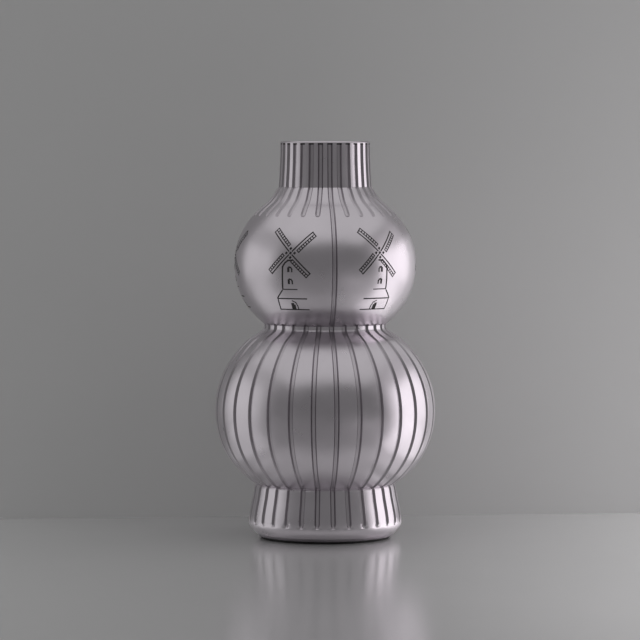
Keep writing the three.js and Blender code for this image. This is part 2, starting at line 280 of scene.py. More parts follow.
class Outside:
    """One piece's outside curve, with its length measured upward along it."""

    def __init__(self, radius_at, low, high):
        self.radius_at = radius_at
        self.heights = np.linspace(low, high, CURVE_SAMPLES)
        steps = np.hypot(np.diff(self.heights), np.diff(radius_at(self.heights)))
        self.lengths = np.concatenate([[0], np.cumsum(steps)])

    def length(self, z):
        return np.interp(z, self.heights, self.lengths)

    def height(self, length):
        return np.interp(length, self.lengths, self.heights)

    def normal(self, angle, z):
        """The outward normal at each angle and height."""
        growth = self.radius_at(z + SLOPE_STEP) - self.radius_at(z - SLOPE_STEP)
        slope = growth / (2 * SLOPE_STEP)
        flat = 1 / np.sqrt(1 + slope**2)
        return np.stack([np.cos(angle) * flat, np.sin(angle) * flat, -slope * flat], axis=-1)


# Flutes
def flute_angle(flute):
    return math.radians(-90 + flute * 360 / FLUTES)


def on_seam(flute):
    return flute % (FLUTES // 2) == 0


def flute_depth(reach):
    """How deep a flute is, at a distance from its middle as a share of its half width."""
    return FLUTE_DEPTH * np.clip((1 - reach) / (1 - FLUTE_FLOOR_SHARE), 0, 1)


def ring_columns(first, last):
    """The columns from one flute's middle to another's: (kind, flute, place across it or share of a rib)."""
    columns = []
    for flute in range(first, last + 1):
        for across in FLUTE_COLUMNS:
            outside_piece = (flute == first and across < 0) or (flute == last and across > 0)
            if not outside_piece:
                columns.append(("flute", flute, across))
        if flute < last:
            columns += [("rib", flute, (step + 1) / (RIB_COLUMNS + 1)) for step in range(RIB_COLUMNS)]
    return columns


def fluted_rows(outside, lengths, columns, spans_of, seam_gap=0.0):
    """Angles, depths, heights, radii and reaches across a flute of a fluted outside, row by row."""
    heights = outside.height(lengths)
    radii = outside.radius_at(heights)
    scale, past = {}, {}
    for flute in {c[1] for c in columns} | {c[1] + 1 for c in columns}:
        beyond = np.full(len(lengths), FAR)
        for start, end in spans_of(flute):
            beyond = np.minimum(beyond, np.maximum(0, np.maximum(start - lengths, lengths - end)))
        t = beyond / FLUTE_TIP_LENGTH
        past[flute] = t
        tapered = np.maximum(1 - np.minimum(t, 1) ** TIP_TAPER, TIP_WIDTH)
        widened = np.minimum(1, TIP_WIDTH + TIP_SPREAD * (t - 1))
        scale[flute] = np.where(t < 1, tapered, widened)
    shape = (len(lengths), len(columns))
    angles = np.empty(shape)
    tips = np.zeros(shape)
    depths = np.zeros(shape)
    reaches = np.full(shape, OFF_FLUTE)
    edge = FLUTE_COLUMNS[-1] * FLUTE_HALF_WIDTH
    for index, (kind, flute, across) in enumerate(columns):
        if kind == "flute":
            half = FLUTE_HALF_WIDTH * scale[flute]
            angles[:, index] = flute_angle(flute) + across * half / radii
            reaches[:, index] = np.hypot(across * scale[flute], past[flute])
            depths[:, index] = flute_depth(reaches[:, index])
            tips[:, index] = past[flute]
        else:
            left = flute_angle(flute) + edge * scale[flute] / radii
            right = flute_angle(flute + 1) - edge * scale[flute + 1] / radii
            angles[:, index] = left + (right - left) * across
    if seam_gap:
        angles[:, 0] += seam_gap / radii
        angles[:, -1] -= seam_gap / radii
    # the last of a tapered end is as pale as the ribs, without the flutes' painted shade
    return angles, depths, heights, radii, np.where(tips > FLUTE_TIP_SHADE, OFF_FLUTE, reaches)


def row_lengths(outside, low, high, extra=()):
    """Even rows along an outside curve, with extra rows where a flute ends."""
    start, end = float(outside.length(low)), float(outside.length(high))
    even = np.linspace(start, end, max(2, round((end - start) / ROW_STEP) + 1))
    kept = [v for v in even if all(abs(v - e) > ROW_STEP * ROW_CLEARANCE for e in extra)]
    ends = [start, end]
    inner = [e for e in extra if start < e < end]
    return np.array(sorted(set(kept) | set(ends) | set(inner)))


def tip_rows(tip, direction):
    """Rows for the tapered end of a flute whose tip is given, ending downward (-1) or upward (1)."""
    start = tip - direction * FLUTE_TIP_LENGTH
    rows = [start + direction * FLUTE_TIP_LENGTH * share for share in TIP_ROW_SHARES]
    return rows + [tip + direction * ROW_PAST_TIP]


# Meshes
def place(radii, angles, heights):
    """Points in metres from polar values in millimetres."""
    return np.stack([radii * np.cos(angles), radii * np.sin(angles), heights], axis=-1) * MM


def build(name, points, faces, materials, slots, normals=None):
    """A mesh object whose creases over the sharp angle stay crisp, and whose skin may take given normals."""
    mesh = bpy.data.meshes.new(name)
    mesh.from_pydata(points.tolist(), [], faces)
    for material in materials:
        mesh.materials.append(material)
    mesh.polygons.foreach_set("material_index", np.asarray(slots, np.int32))
    mesh.shade_smooth()
    mesh.set_sharp_from_angle(angle=math.radians(SHARP_ANGLE))
    if normals is not None:
        skin_faces, vertex_normals = normals
        corners = np.empty(len(mesh.loops) * 3, np.float32)
        mesh.corner_normals.foreach_get("vector", corners)
        corners = corners.reshape(-1, 3)
        loop_vertices = np.empty(len(mesh.loops), np.int32)
        mesh.loops.foreach_get("vertex_index", loop_vertices)
        totals = np.empty(len(mesh.polygons), np.int32)
        mesh.polygons.foreach_get("loop_total", totals)
        on_skin = np.repeat(np.asarray(skin_faces, bool), totals)
        corners[on_skin] = vertex_normals[loop_vertices[on_skin]]
        mesh.normals_split_custom_set(corners.tolist())
    piece = bpy.data.objects.new(name, mesh)
    bpy.context.scene.collection.objects.link(piece)
    return piece


def grid_faces(rows, columns, closed, skip=None):
    """Quads between neighbouring rows and columns of a grid of points, which may close both ways."""
    faces = []
    for row in range(rows if closed else rows - 1):
        low = row * columns
        high = (row + 1) % rows * columns
        for column in range(columns if closed else columns - 1):
            if skip and skip(row, column):
                continue
            right = (column + 1) % columns
            faces.append((low + column, low + right, high + right, high + column))
    return faces


def zip_rows(first, first_places, second, second_places):
    """Triangles between two rows of points, each with its places along the way."""
    faces = []
    a = b = 0
    while a < len(first) - 1 or b < len(second) - 1:
        step_first = b == len(second) - 1 or (
            a < len(first) - 1 and first_places[a + 1] <= second_places[b + 1]
        )
        if step_first:
            faces.append((first[a], first[a + 1], second[b]))
            a += 1
        else:
            faces.append((first[a], second[b + 1], second[b]))
            b += 1
    return faces


# Tower mills
def mill_strokes(outward):
    """The lines of a tower mill as (start, end, half width); outward is 1 or -1, away from the seam."""
    strokes = []

    def line(points, half_width):
        for start, end in zip(points, points[1:]):
            strokes.append((tuple(start), tuple(end), half_width))

    def tower_line(points, half_width):
        line([(outward * across, rise) for across, rise in points], half_width)

    wall_top, wall_foot, skirt, base, inner = 6.0, 6.8, 12.2, 11.8, -10.8
    eaves, skirt_top, gallery, ground = -10.2, -26.9, -33.9, -42.1
    # the cap and the wall below it
    tower_line([(-1.2, -5.3), (1.8, -5.5), (3.9, -7.1), (5.4, -9.0)], THICK_LINE)
    tower_line([(5.4, -9.0), (wall_top, eaves), (wall_foot, skirt_top + 0.6)], THICK_LINE)
    # the skirt, the gallery under it, the base and the ground
    tower_line([(wall_foot, skirt_top), (-4.6, skirt_top)], THIN_LINE)
    tower_line([(wall_foot + 0.7, skirt_top - 0.9), (skirt, gallery + 0.7)], MIDDLE_LINE)
    tower_line([(skirt + 0.2, gallery), (inner, gallery)], MIDDLE_LINE)
    tower_line([(skirt, gallery - 1.0), (base, ground)], MIDDLE_LINE)
    tower_line([(base, ground), (inner, ground)], MIDDLE_LINE)
    # an arched door with a deep shadow on its outer side
    for across, top in ((-0.7, 3.2), (0.2, 4.3), (1.1, 4.3)):
        tower_line([(across, ground + 1.0), (across, ground + top)], DOOR_SHADOW_LINE)
    arch = [(-3.1, ground), (-3.0, ground + 2.8), (-1.9, ground + 5.4), (0.5, ground + 6.6)]
    tower_line(arch, DOOR_ARCH_LINE)
    # two arched windows
    for height in WINDOW_MIDDLES:
        tower_line([(1.3, height - 1.1), (1.3, height + 0.7)], WINDOW_SIDE_LINE)
        arch = [(-1.4, height - 1.5), (-1.4, height + 0.3), (-0.6, height + 1.4), (0.8, height + 1.8)]
        tower_line(arch, WINDOW_ARCH_LINE)
    # four sails, each a spar with a lattice beside it, and four marks and a dot at the hub
    for quarter in range(4):
        turned = math.radians(SAIL_TURN + 90 * quarter)
        along = np.array([math.cos(turned), math.sin(turned)])
        across = np.array([-along[1], along[0]])
        inner_rail, outer_rail = (across * offset for offset in SAIL_RAILS)
        line([along * SPAR_START, along * SAIL_END], MIDDLE_LINE)
        for rail in (inner_rail, outer_rail):
            line([along * LATTICE_START + rail, along * SAIL_END + rail], THIN_LINE)
        for rung in np.linspace(LATTICE_START, SAIL_END, SAIL_RUNGS):
            line([along * rung + inner_rail, along * rung + outer_rail], THIN_LINE)
        line([along * SAIL_END, along * SAIL_END + inner_rail], THIN_LINE)
        mark_turn = quarter * math.pi / 2
        mark = HUB_MARK_OFFSET * np.array([math.cos(mark_turn), math.sin(mark_turn)])
        line([mark - DIAMOND, mark + DIAMOND], HUB_MARK_LINE)
    line([-DIAMOND, DIAMOND], HUB_LINE)
    return strokes


def split_stroke(start, end):
    """The stops of a stroke cut into short pieces, so that each lies on the round surface."""
    start, end = np.array(start), np.array(end)
    count = max(1, math.ceil(np.linalg.norm(end - start) / LONGEST_STROKE))
    return [start + (end - start) * step / count for step in range(count + 1)]


def line_depth(points, strokes):
    """How deep the engraving is at each flat point: the deepest of the square-ended strokes there."""
    depth = np.zeros(len(points))
    for start, end, half_width in strokes:
        start, end = np.array(start), np.array(end)
        length = np.linalg.norm(end - start)
        along = (end - start) / length
        offset = points - start
        ahead = offset @ along
        across = np.abs(offset[:, 0] * along[1] - offset[:, 1] * along[0])
        reach = np.maximum(across, np.maximum(-ahead, ahead - length))
        wall = np.clip((half_width - reach) / LINE_BEVEL, 0, 1)
        depth = np.maximum(depth, np.where(wall > LEAST_CUT, wall, 0) * LINE_DEPTH)
    return depth


def mill_patch(outside, border, middle, outward):
    """The engraved patch inside a border of (angle, length) points.

    Gives its points, their depths, its faces, the border point that each point came from or -1, and
    whether each face lies in a cut line.
    """
    hub_length = float(outside.length(MILL_HUB))
    scale = UPPER["radius"]
    strokes = []
    for start, end, half_width in mill_strokes(outward):
        # heights above the hub become lengths along the globe
        flat = [(p[0], float(outside.length(MILL_HUB + p[1])) - hub_length) for p in (start, end)]
        strokes.append((flat[0], flat[1], half_width))

    def to_angle_length(points):
        lengths = points[:, 1] + hub_length
        radii = outside.radius_at(outside.height(lengths))
        return np.stack([middle + points[:, 0] / radii, lengths], axis=1)

    def to_flat(points):
        radii = outside.radius_at(outside.height(points[:, 1]))
        return np.stack([(points[:, 0] - middle) * radii, points[:, 1] - hub_length], axis=1)

    given = [border]
    edges = [(i, (i + 1) % len(border)) for i in range(len(border))]
    count = len(border)
    for start, end, half_width in strokes:
        stops = split_stroke(start, end)
        along = stops[-1] - stops[0]
        along = along / np.linalg.norm(along)
        across = np.array([-along[1], along[0]])
        for half in (half_width, half_width - LINE_BEVEL):
            ends = [stops[0] - along * half, *stops[1:-1], stops[-1] + along * half]
            loop = [stop + across * half for stop in ends]
            loop += [stop - across * half for stop in reversed(ends)]
            given.append(to_angle_length(np.array(loop)))
            edges += [(count + i, count + (i + 1) % len(loop)) for i in range(len(loop))]
            count += len(loop)

    # staggered points over the plain surface, clear of the strokes
    low, high = border[:, 1].min(), border[:, 1].max()
    left, right = border[:, 0].min(), border[:, 0].max()
    rows = np.arange(low + SUPPORT_STEP, high - SUPPORT_STEP * 0.5, SUPPORT_STEP)
    sites = []
    for index, length in enumerate(rows):
        step = SUPPORT_STEP / float(outside.radius_at(outside.height(length)))
        stagger = 0.75 + 0.5 * (index % 2)
        sites += [(angle, length) for angle in np.arange(left + step * stagger, right - step * 0.5, step)]
    sites = np.array(sites)
    widened = [(start, end, half_width + SUPPORT_CLEARANCE) for start, end, half_width in strokes]
    given.append(sites[line_depth(to_flat(sites), widened) == 0])

    points = np.concatenate(given)
    flat = [Vector(((angle - middle) * scale, length)) for angle, length in points]
    made = delaunay_2d_cdt(flat, edges, [], 0, SAME_POINT)
    out = np.array([(v[0] / scale + middle, v[1]) for v in made[0]])
    depth = line_depth(to_flat(out), strokes)
    origins = [next((i for i in ids if i < len(border)), -1) for ids in made[3]]
    middles = np.array([out[list(face)].mean(axis=0) for face in made[2]])
    engraved_faces = line_depth(to_flat(middles), strokes) > 0
    return out, depth, made[2], origins, engraved_faces


# Half shells
def flute_slot(reaches):
    """The material of a face by how far its corners are across a flute: rib, or the painted shade of a flute
    wall or flute floor.
    """
    middle = sum(reaches) / len(reaches)
    if middle >= 1:
        return PLAIN
    return FLUTE_FLOOR if middle <= FLUTE_FLOOR_SHARE else FLUTE_WALL


def mill_blocks(angles, heights, side):
    """Each mill's first and last column, first and last row, and the angle of its middle."""
    middle_row = angles[len(heights) // 2]
    row_low = int(np.argmin(np.abs(heights - MILL_PATCH[0])))
    row_high = int(np.argmin(np.abs(heights - MILL_PATCH[1])))
    blocks = []
    for mill_turn in MILL_TURNS:
        # mills stand at equal turns from the front seam, all shifted a little one way
        middle = math.radians(-90 + side * mill_turn + MILL_SHIFT)
        if side < 0:
            middle += 2 * math.pi
        wanted = [middle - math.radians(MILL_REACH), middle + math.radians(MILL_REACH)]
        first, last = (int(np.argmin(np.abs(middle_row - angle))) for angle in wanted)
        blocks.append((first, last, row_low, row_high, middle))
    return blocks


def closing_faces(rows, width, heights, inner):
    """A half shell's inside, and the walls that join it to the outside at both ends and both seams."""
    faces = []
    inner_rows = len(inner)
    base = rows * width
    for row in range(inner_rows - 1):
        for column in range(width - 1):
            at = base + row * width + column
            faces.append((at, at + 1, at + width + 1, at + width))
    top_outer = (rows - 1) * width
    bottom_inner = base + (inner_rows - 1) * width
    for column in range(width - 1):
        faces.append((top_outer + column, top_outer + column + 1, base + column + 1, base + column))
        faces.append((bottom_inner + column, bottom_inner + column + 1, column + 1, column))
    inner_heights = [z for _radius, z in reversed(inner)]
    for column, flip in ((0, False), (width - 1, True)):
        outer_ids = [row * width + column for row in range(rows)]
        inner_ids = [base + row * width + column for row in reversed(range(inner_rows))]
        caps = zip_rows(outer_ids, heights, inner_ids, inner_heights)
        faces += caps if flip else [tuple(reversed(cap)) for cap in caps]
    return faces


def half_shell(name, outside, globe, low, high, side, spans_of, extra, inner, materials, mills=False):
    """One half of a globe: its fluted outside, its plain inside, and the walls that close it."""
    first, last = (0, FLUTES // 2) if side > 0 else (FLUTES // 2, FLUTES)
    columns = ring_columns(first, last)
    lengths = row_lengths(outside, low + PIECE_GAP, high - PIECE_GAP, extra)
    angles, depths, heights, radii, reaches = fluted_rows(outside, lengths, columns, spans_of, SEAM_HALF_GAP)
    rows, width = angles.shape
    outer_heights = heights[:, None] + 0 * angles
    outer = place(radii[:, None] - depths, angles, outer_heights)
    inner_radii = np.array([radius for radius, _z in inner])[:, None] + 0 * angles[:1]
    inner_heights = np.array([z for _radius, z in inner])[:, None] + 0 * angles[:1]
    # the inside's columns line up with the outside's at its nearer end
    inner_angles = np.array([angles[0] if z < globe["middle"] else angles[-1] for _radius, z in inner])
    inside = place(inner_radii, inner_angles, inner_heights)
    points = np.concatenate([outer.reshape(-1, 3), inside.reshape(-1, 3)])
    outward = outside.normal(angles, outer_heights).reshape(-1, 3)
    normal = np.concatenate([outward, np.zeros((len(inner) * width, 3))])
    reach = reaches.reshape(-1)
    blocks = mill_blocks(angles, heights, side) if mills else []

    def in_block(row, column):
        return any(c0 <= column < c1 and r0 <= row < r1 for c0, c1, r0, r1, _middle in blocks)

    faces = grid_faces(rows, width, False, in_block)
    slots = [flute_slot([reach[i] for i in face]) for face in faces]
    skin = [slot != FLUTE_WALL for slot in slots]
    for c0, c1, r0, r1, middle in blocks:
        loop = (
            [r0 * width + c for c in range(c0, c1)]
            + [r * width + c1 for r in range(r0, r1)]
            + [r1 * width + c for c in range(c1, c0, -1)]
            + [r * width + c0 for r in range(r1, r0, -1)]
        )
        flat_angles, flat_lengths = angles.reshape(-1), np.repeat(lengths, width)
        border = np.stack([flat_angles[loop], flat_lengths[loop]], axis=1)
        # a mill's open side is towards the front seam
        out, depth, new_faces, origins, engraved_faces = mill_patch(outside, border, middle, side)
        z = outside.height(out[:, 1])
        spots = place(outside.radius_at(z) - depth, out[:, 0], z)
        start = len(points)
        ids = [loop[origin] if origin >= 0 else start + index for index, origin in enumerate(origins)]
        points = np.concatenate([points, spots])
        normal = np.concatenate([normal, outside.normal(out[:, 0], z)])
        for face, cut in zip(new_faces, engraved_faces):
            corners = [ids[i] for i in face]
            a, b, c = (points[i] for i in corners[:3])
            if np.dot(np.cross(b - a, c - a), normal[corners[0]]) < 0:
                corners.reverse()
            faces.append(tuple(corners))
            slots.append(ENGRAVED_AND_SHADE if cut else PLAIN)
            skin.append(not cut)

    walls = closing_faces(rows, width, heights, inner)
    faces += walls
    slots += [PLAIN] * len(walls)
    skin += [False] * len(walls)
    # points that no face uses are left out
    used = sorted({i for face in faces for i in face})
    renumber = {old: new for new, old in enumerate(used)}
    faces = [tuple(renumber[i] for i in face) for face in faces]
    return build(name, points[used], faces, materials, slots, normals=(skin, normal[used]))


def inner_profile(globe, low, land, low_radius, curve_top, high, high_radius):
    """The inside of a half shell, from its top down: a straight top, the globe's curve, a straight foot."""
    heights = np.linspace(curve_top, low + land, INSIDE_ROWS)
    inside = [(high_radius, high)] + [(float(globe_radius(globe, z)), float(z)) for z in heights]
    return inside + ([(low_radius, low + land), (low_radius, low)] if land else [])


# Materials
def node_material(name):
    material = bpy.data.materials.new(name)
    material.use_nodes = True
    tree = material.node_tree
    tree.nodes.clear()
    output = tree.nodes.new("ShaderNodeOutputMaterial")
    shader = tree.nodes.new("ShaderNodeBsdfPrincipled")
    tree.links.new(shader.outputs["BSDF"], output.inputs["Surface"])
    return material, tree, shader


def add_noise(tree, scale, detail=4.0):
    """Noise in object space, in features per metre."""
    coordinates = tree.nodes.new("ShaderNodeTexCoord")
    noise = tree.nodes.new("ShaderNodeTexNoise")
    noise.inputs["Scale"].default_value = scale
    noise.inputs["Detail"].default_value = detail
    tree.links.new(coordinates.outputs["Object"], noise.inputs["Vector"])
    return noise.outputs["Fac"]


def add_range(tree, value, low, high, from_low=0.3, from_high=0.7):
    """Maps a texture's value to a range."""
    node = tree.nodes.new("ShaderNodeMapRange")
    node.inputs["From Min"].default_value = from_low
    node.inputs["From Max"].default_value = from_high
    node.inputs["To Min"].default_value = low
    node.inputs["To Max"].default_value = high
    tree.links.new(value, node.inputs["Value"])
    return node.outputs["Result"]


def add_blend(tree, value, dark, light):
    """Mixes two colours by a texture's value."""
    node = tree.nodes.new("ShaderNodeMix")
    node.data_type = "RGBA"
    node.inputs["A"].default_value = (*dark, 1)
    node.inputs["B"].default_value = (*light, 1)
    tree.links.new(value, node.inputs["Factor"])
    return node.outputs["Result"]


def add_bump(tree, shader, value, distance, strength=0.3):
    node = tree.nodes.new("ShaderNodeBump")
    node.inputs["Strength"].default_value = strength
    node.inputs["Distance"].default_value = distance
    tree.links.new(value, node.inputs["Height"])
    tree.links.new(node.outputs["Normal"], shader.inputs["Normal"])


SMUDGE_RATIO = 2.7
SMUDGE_DETAIL = 6.0
GRAIN_DETAIL = 2.0


def textured(name, dark, light, metallic, rough, clouds, grains, grain_depth):
    """A material with cloudy colour and roughness, and a moulded grain or waviness, both per metre."""
    material, tree, shader = node_material(name)
    shader.inputs["Metallic"].default_value = metallic
    cloud = add_noise(tree, clouds)
    tree.links.new(add_blend(tree, add_range(tree, cloud, 0, 1), dark, light), shader.inputs["Base Color"])
    smudge = add_noise(tree, clouds * SMUDGE_RATIO, SMUDGE_DETAIL)
    tree.links.new(add_range(tree, smudge, *rough), shader.inputs["Roughness"])
    add_bump(tree, shader, add_noise(tree, grains, GRAIN_DETAIL), grain_depth)
    return material


silver = textured(
    "silver_plastic", (0.593, 0.555, 0.593), (0.656, 0.614, 0.656), metallic=1.0, rough=(0.27, 0.33),
    clouds=24, grains=70, grain_depth=0.00006,
)
# Darker copies of the silver for the flutes' floors and, darker still, their walls: painted shade inside the
# grooves
shaded_flute_floor = textured(
    "shaded_flute_floor", (0.52, 0.486, 0.52), (0.583, 0.545, 0.583), metallic=1.0, rough=(0.30, 0.36),
    clouds=30, grains=70, grain_depth=0.00006,
)
shaded_flute_wall = textured(
    "shaded_flute_wall", (0.416, 0.389, 0.416), (0.482, 0.45, 0.482), metallic=1.0, rough=(0.32, 0.40),
    clouds=30, grains=70, grain_depth=0.00006,
)
# Near black, for the mills' cut lines and as painted shade at the flutes' ends under the neck's lip
engraved_and_shade = textured(
    "engraved_line_and_lip_shade", (0.03, 0.027, 0.028), (0.055, 0.05, 0.052), metallic=0.0, rough=(0.55, 0.75),
    clouds=300, grains=4000, grain_depth=0.00003,
)
inner_grey = textured(
    "inner_grey_plastic", (0.30, 0.29, 0.30), (0.36, 0.35, 0.36), metallic=0.0, rough=(0.42, 0.55),
    clouds=30, grains=2000, grain_depth=0.00004,
)
# Near-black rubber, darker than bare rubber: the rubber's own black and painted shade of the contact under
# the foot
rubber = textured(
    "black_rubber", (0.006, 0.006, 0.006), (0.016, 0.016, 0.016), metallic=0.0, rough=(0.65, 0.85),
    clouds=120, grains=3000, grain_depth=0.00005,
)


# Pieces
def everywhere(_flute):
    return [(-FAR, FAR)]


def rounded_corner(corner, radius, inward, downward, steps=4):
    """A quarter round at a corner, from its upright side to its level side."""
    across, up_to = corner[0] + inward * radius, corner[1] + downward * radius
    turns = np.linspace(0, math.pi / 2, steps + 1)
    return [(across - inward * radius * math.cos(t), up_to - downward * radius * math.sin(t)) for t in turns]


def closed_ring(name, rows, reaches, materials, shaded_row=None):
    """A closed ring from rows of (radii, angles, height); the first rows are the fluted ones."""
    width = len(rows[0][1])
    points = np.concatenate([place(radii, angles, np.full(width, height)) for radii, angles, height in rows])
    faces = grid_faces(len(rows), width, True)
    reach = np.full(len(points), OFF_FLUTE)
    reach[: reaches.size] = reaches.reshape(-1)
    slots = [flute_slot([reach[i] for i in face]) for face in faces]
    if shaded_row is not None:
        # the end of each flute under the lip lies in deep shade, painted with the near-black material
        start = shaded_row * width
        end = start + width
        slots[start:end] = [ENGRAVED_AND_SHADE if slot else PLAIN for slot in slots[start:end]]
    return build(name, points, faces, materials, slots)


def plain_rows(profile, angles):
    """Rows of a ring for each (radius, height) of a profile."""
    return [(np.full(len(angles), radius), angles, height) for radius, height in profile]


def make_neck_collar():
    """The neck: fluted outside, bright lip, bore, and the spigot below it, as one closed profile."""
    low = SHOULDER + PIECE_GAP
    outside = Outside(neck_outside, low, RIM)
    columns = ring_columns(0, FLUTES)[:-1]
    band = RIM - LIP_HEIGHT
    fluted = [*np.linspace(low, band - LIP_SHADE, NECK_ROWS), band]
    lengths = outside.length(np.array(fluted))
    angles, depths, heights, radii, reaches = fluted_rows(outside, lengths, columns, everywhere)
    rows = [(radii[i] - depths[i], angles[i], heights[i]) for i in range(len(fluted))]
    spigot_end = SHOULDER - NECK_SPIGOT_LENGTH
    plain = [(float(neck_outside(band)), band + LIP_STEP)]
    plain += rounded_corner((RIM_RADIUS, RIM), LIP_ROUND, -1, -1, LIP_ROUND_STEPS)
    plain += rounded_corner((NECK_BORE_RADIUS + MOUTH_EASE, RIM), MOUTH_ROUND, 1, -1)[::-1]
    plain += [(NECK_BORE_RADIUS, z) for z in np.linspace(RIM - BORE_TOP, spigot_end, BORE_ROWS)]
    plain += [(NECK_SPIGOT_RADIUS, spigot_end), (NECK_SPIGOT_RADIUS, low)]
    rows += plain_rows(plain, angles[-1])
    # the neck's near-black material is used only as painted shade at the flutes' ends under the lip
    materials = [silver, shaded_flute_wall, shaded_flute_floor, engraved_and_shade]
    return closed_ring("neck_collar_skin", rows, reaches, materials, shaded_row=len(fluted) - 2)


def make_foot_ring():
    """The foot: fluted flare, rolled edge, underside, bore, pocket and spigot, as one closed profile."""
    high = FOOT_TOP - PIECE_GAP
    outside = Outside(foot_outside, FOOT_UNDERSIDE, high)
    tip = float(outside.length(FOOT_FLUTE_TIP))
    columns = ring_columns(0, FLUTES)[:-1]
    lengths = row_lengths(outside, FOOT_UNDERSIDE, high, tip_rows(tip, -1))
    span = [(tip + FLUTE_TIP_LENGTH, FAR)]
    angles, depths, heights, radii, reaches = fluted_rows(outside, lengths, columns, lambda _flute: span)
    below_edge = int(np.sum(heights < high - FOOT_EDGE - FOOT_EDGE_CLEARANCE))
    rows = [(radii[i] - depths[i], angles[i], heights[i]) for i in range(below_edge)]
    for share in FOOT_EDGE_SHARES:
        inset = FOOT_EDGE_INSET * share**FOOT_EDGE_CURVE
        rows.append((radii[-1] - depths[-1] - inset, angles[-1], high - FOOT_EDGE * (1 - share)))
    opening = FOOT_OPENING - FIT_CLEARANCE
    bore = opening - FOOT_SPIGOT_WALL
    spigot_top = FOOT_TOP + FOOT_SPIGOT_LENGTH
    pocket_low, pocket_high = FOOT_POCKET
    groove_inner, groove_outer = STAND_GROOVE
    groove_top = STAND_RING_HEIGHT + FIT_CLEARANCE
    plain = [
        (opening, high),
        (opening, spigot_top),
        (bore, spigot_top),
        (bore, FOOT_TOP - FOOT_SPIGOT_ROOT),
        (float(foot_outside(pocket_high)) - FOOT_WALL, pocket_high),
        (float(foot_outside(pocket_low)) - FOOT_WALL, pocket_low),
        (bore, BASE_TOP),
        (bore, FOOT_FLANGE_TOP),
        (FOOT_BORE_RADIUS, FOOT_FLANGE_TOP),
        (FOOT_BORE_RADIUS, FOOT_UNDERSIDE),
        (groove_inner, FOOT_UNDERSIDE),
        (groove_inner, groove_top),
        (groove_outer, groove_top),
        (groove_outer, FOOT_UNDERSIDE),
    ]
    rows += plain_rows(plain, angles[-1])
    return closed_ring("foot_ring_skin", rows, reaches, [silver, shaded_flute_wall, shaded_flute_floor])


def make_stand_ring():
    """The rubber ring that the vase stands on, with rounded edges."""
    inner, outer = STAND_GROOVE[0] + FIT_CLEARANCE, STAND_GROOVE[1] - FIT_CLEARANCE
    top, edge = STAND_RING_HEIGHT, STAND_RING_ROUND
    profile = rounded_corner((outer, 0), edge, -1, 1)[::-1] + rounded_corner((outer, top), edge, -1, -1)
    profile += rounded_corner((inner, top), edge, 1, -1)[::-1] + rounded_corner((inner, 0), edge, 1, 1)
    angles = np.linspace(0, 2 * math.pi, STAND_RING_SIDES, endpoint=False)
    return closed_ring("stand_ring_round", plain_rows(profile, angles), np.zeros(0), [rubber])


upper_curve = Outside(upper_outside, WAIST, SHOULDER)
belly_curve = Outside(belly_outside, FOOT_TOP, WAIST)
shoulder_tip = float(upper_curve.length(SHOULDER_FLUTE_TIP))
waist_tip = float(upper_curve.length(WAIST_FLUTE_TIP))


def upper_spans(flute):
    """The seams' flutes run right through the upper globe; the others end at the shoulder and the waist."""
    if on_seam(flute):
        return everywhere(flute)
    return [(-FAR, waist_tip - FLUTE_TIP_LENGTH), (shoulder_tip + FLUTE_TIP_LENGTH, FAR)]


upper_inside = inner_profile(
    UPPER_INSIDE, WAIST + PIECE_GAP, 0, WAIST_OPENING,
    SHOULDER - NECK_SOCKET_DEPTH, SHOULDER - PIECE_GAP, NECK_SOCKET_RADIUS,
)
belly_inside = inner_profile(
    BELLY_INSIDE, FOOT_TOP + PIECE_GAP, FOOT_LAND, FOOT_OPENING,
    WAIST - WAIST_LAND, WAIST - PIECE_GAP, WAIST_OPENING,
)
upper_extra = tip_rows(shoulder_tip, -1) + tip_rows(waist_tip, 1)
waist_heights = np.arange(WAIST - WAIST_TURN, WAIST, WAIST_ROW_STEP)
belly_extra = [float(belly_curve.length(z)) for z in waist_heights]

pieces = {}
for word, side in (("left", -1), ("right", 1)):
    pieces[f"upper_globe_{word}"] = half_shell(
        f"upper_globe_{word}_skin", upper_curve, UPPER, WAIST, SHOULDER, side, upper_spans, upper_extra,
        upper_inside, [silver, shaded_flute_wall, shaded_flute_floor, engraved_and_shade], mills=True,
    )
    pieces[f"belly_{word}"] = half_shell(
        f"belly_{word}_skin", belly_curve, BELLY, FOOT_TOP, WAIST, side, everywhere, belly_extra,
        belly_inside, [silver, shaded_flute_wall, shaded_flute_floor],
    )
pieces["neck_collar"] = make_neck_collar()
pieces["foot_ring"] = make_foot_ring()
pieces["stand_ring"] = make_stand_ring()
for node, piece in pieces.items():
    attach(piece, "root")
    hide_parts(node)

# The inner pieces keep their solids' meshes and get a better material
for node, material in (
    ("waist_ring", inner_grey),
    ("base_plate", inner_grey),
    ("waist_seal", rubber),
    ("foot_seal", rubber),
    ("base_seal", rubber),
):
    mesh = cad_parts[node].data
    mesh.materials.clear()
    mesh.materials.append(material)


# Stage, in metres. Away is from the camera along the floor, and aside is to the right.
CAMERA_TURN = -6
CAMERA_DISTANCE = 2.648
CAMERA_HEIGHT = 0.304
CAMERA_LENS = 197.2
CAMERA_SENSOR = 36
CAMERA_CLIP = 50
CAMERA_PITCH = -3.01
CAMERA_YAW = 0.085
FLOOR_REACH = 6
WALL_DISTANCE = 0.148
WALL_TURN = 4.5
WALL_LEFT = 0.272
WALL_RIGHT = 0.266
WALL_HEIGHT = 0.45
PAINTED_LIGHT_REACH = 0.25


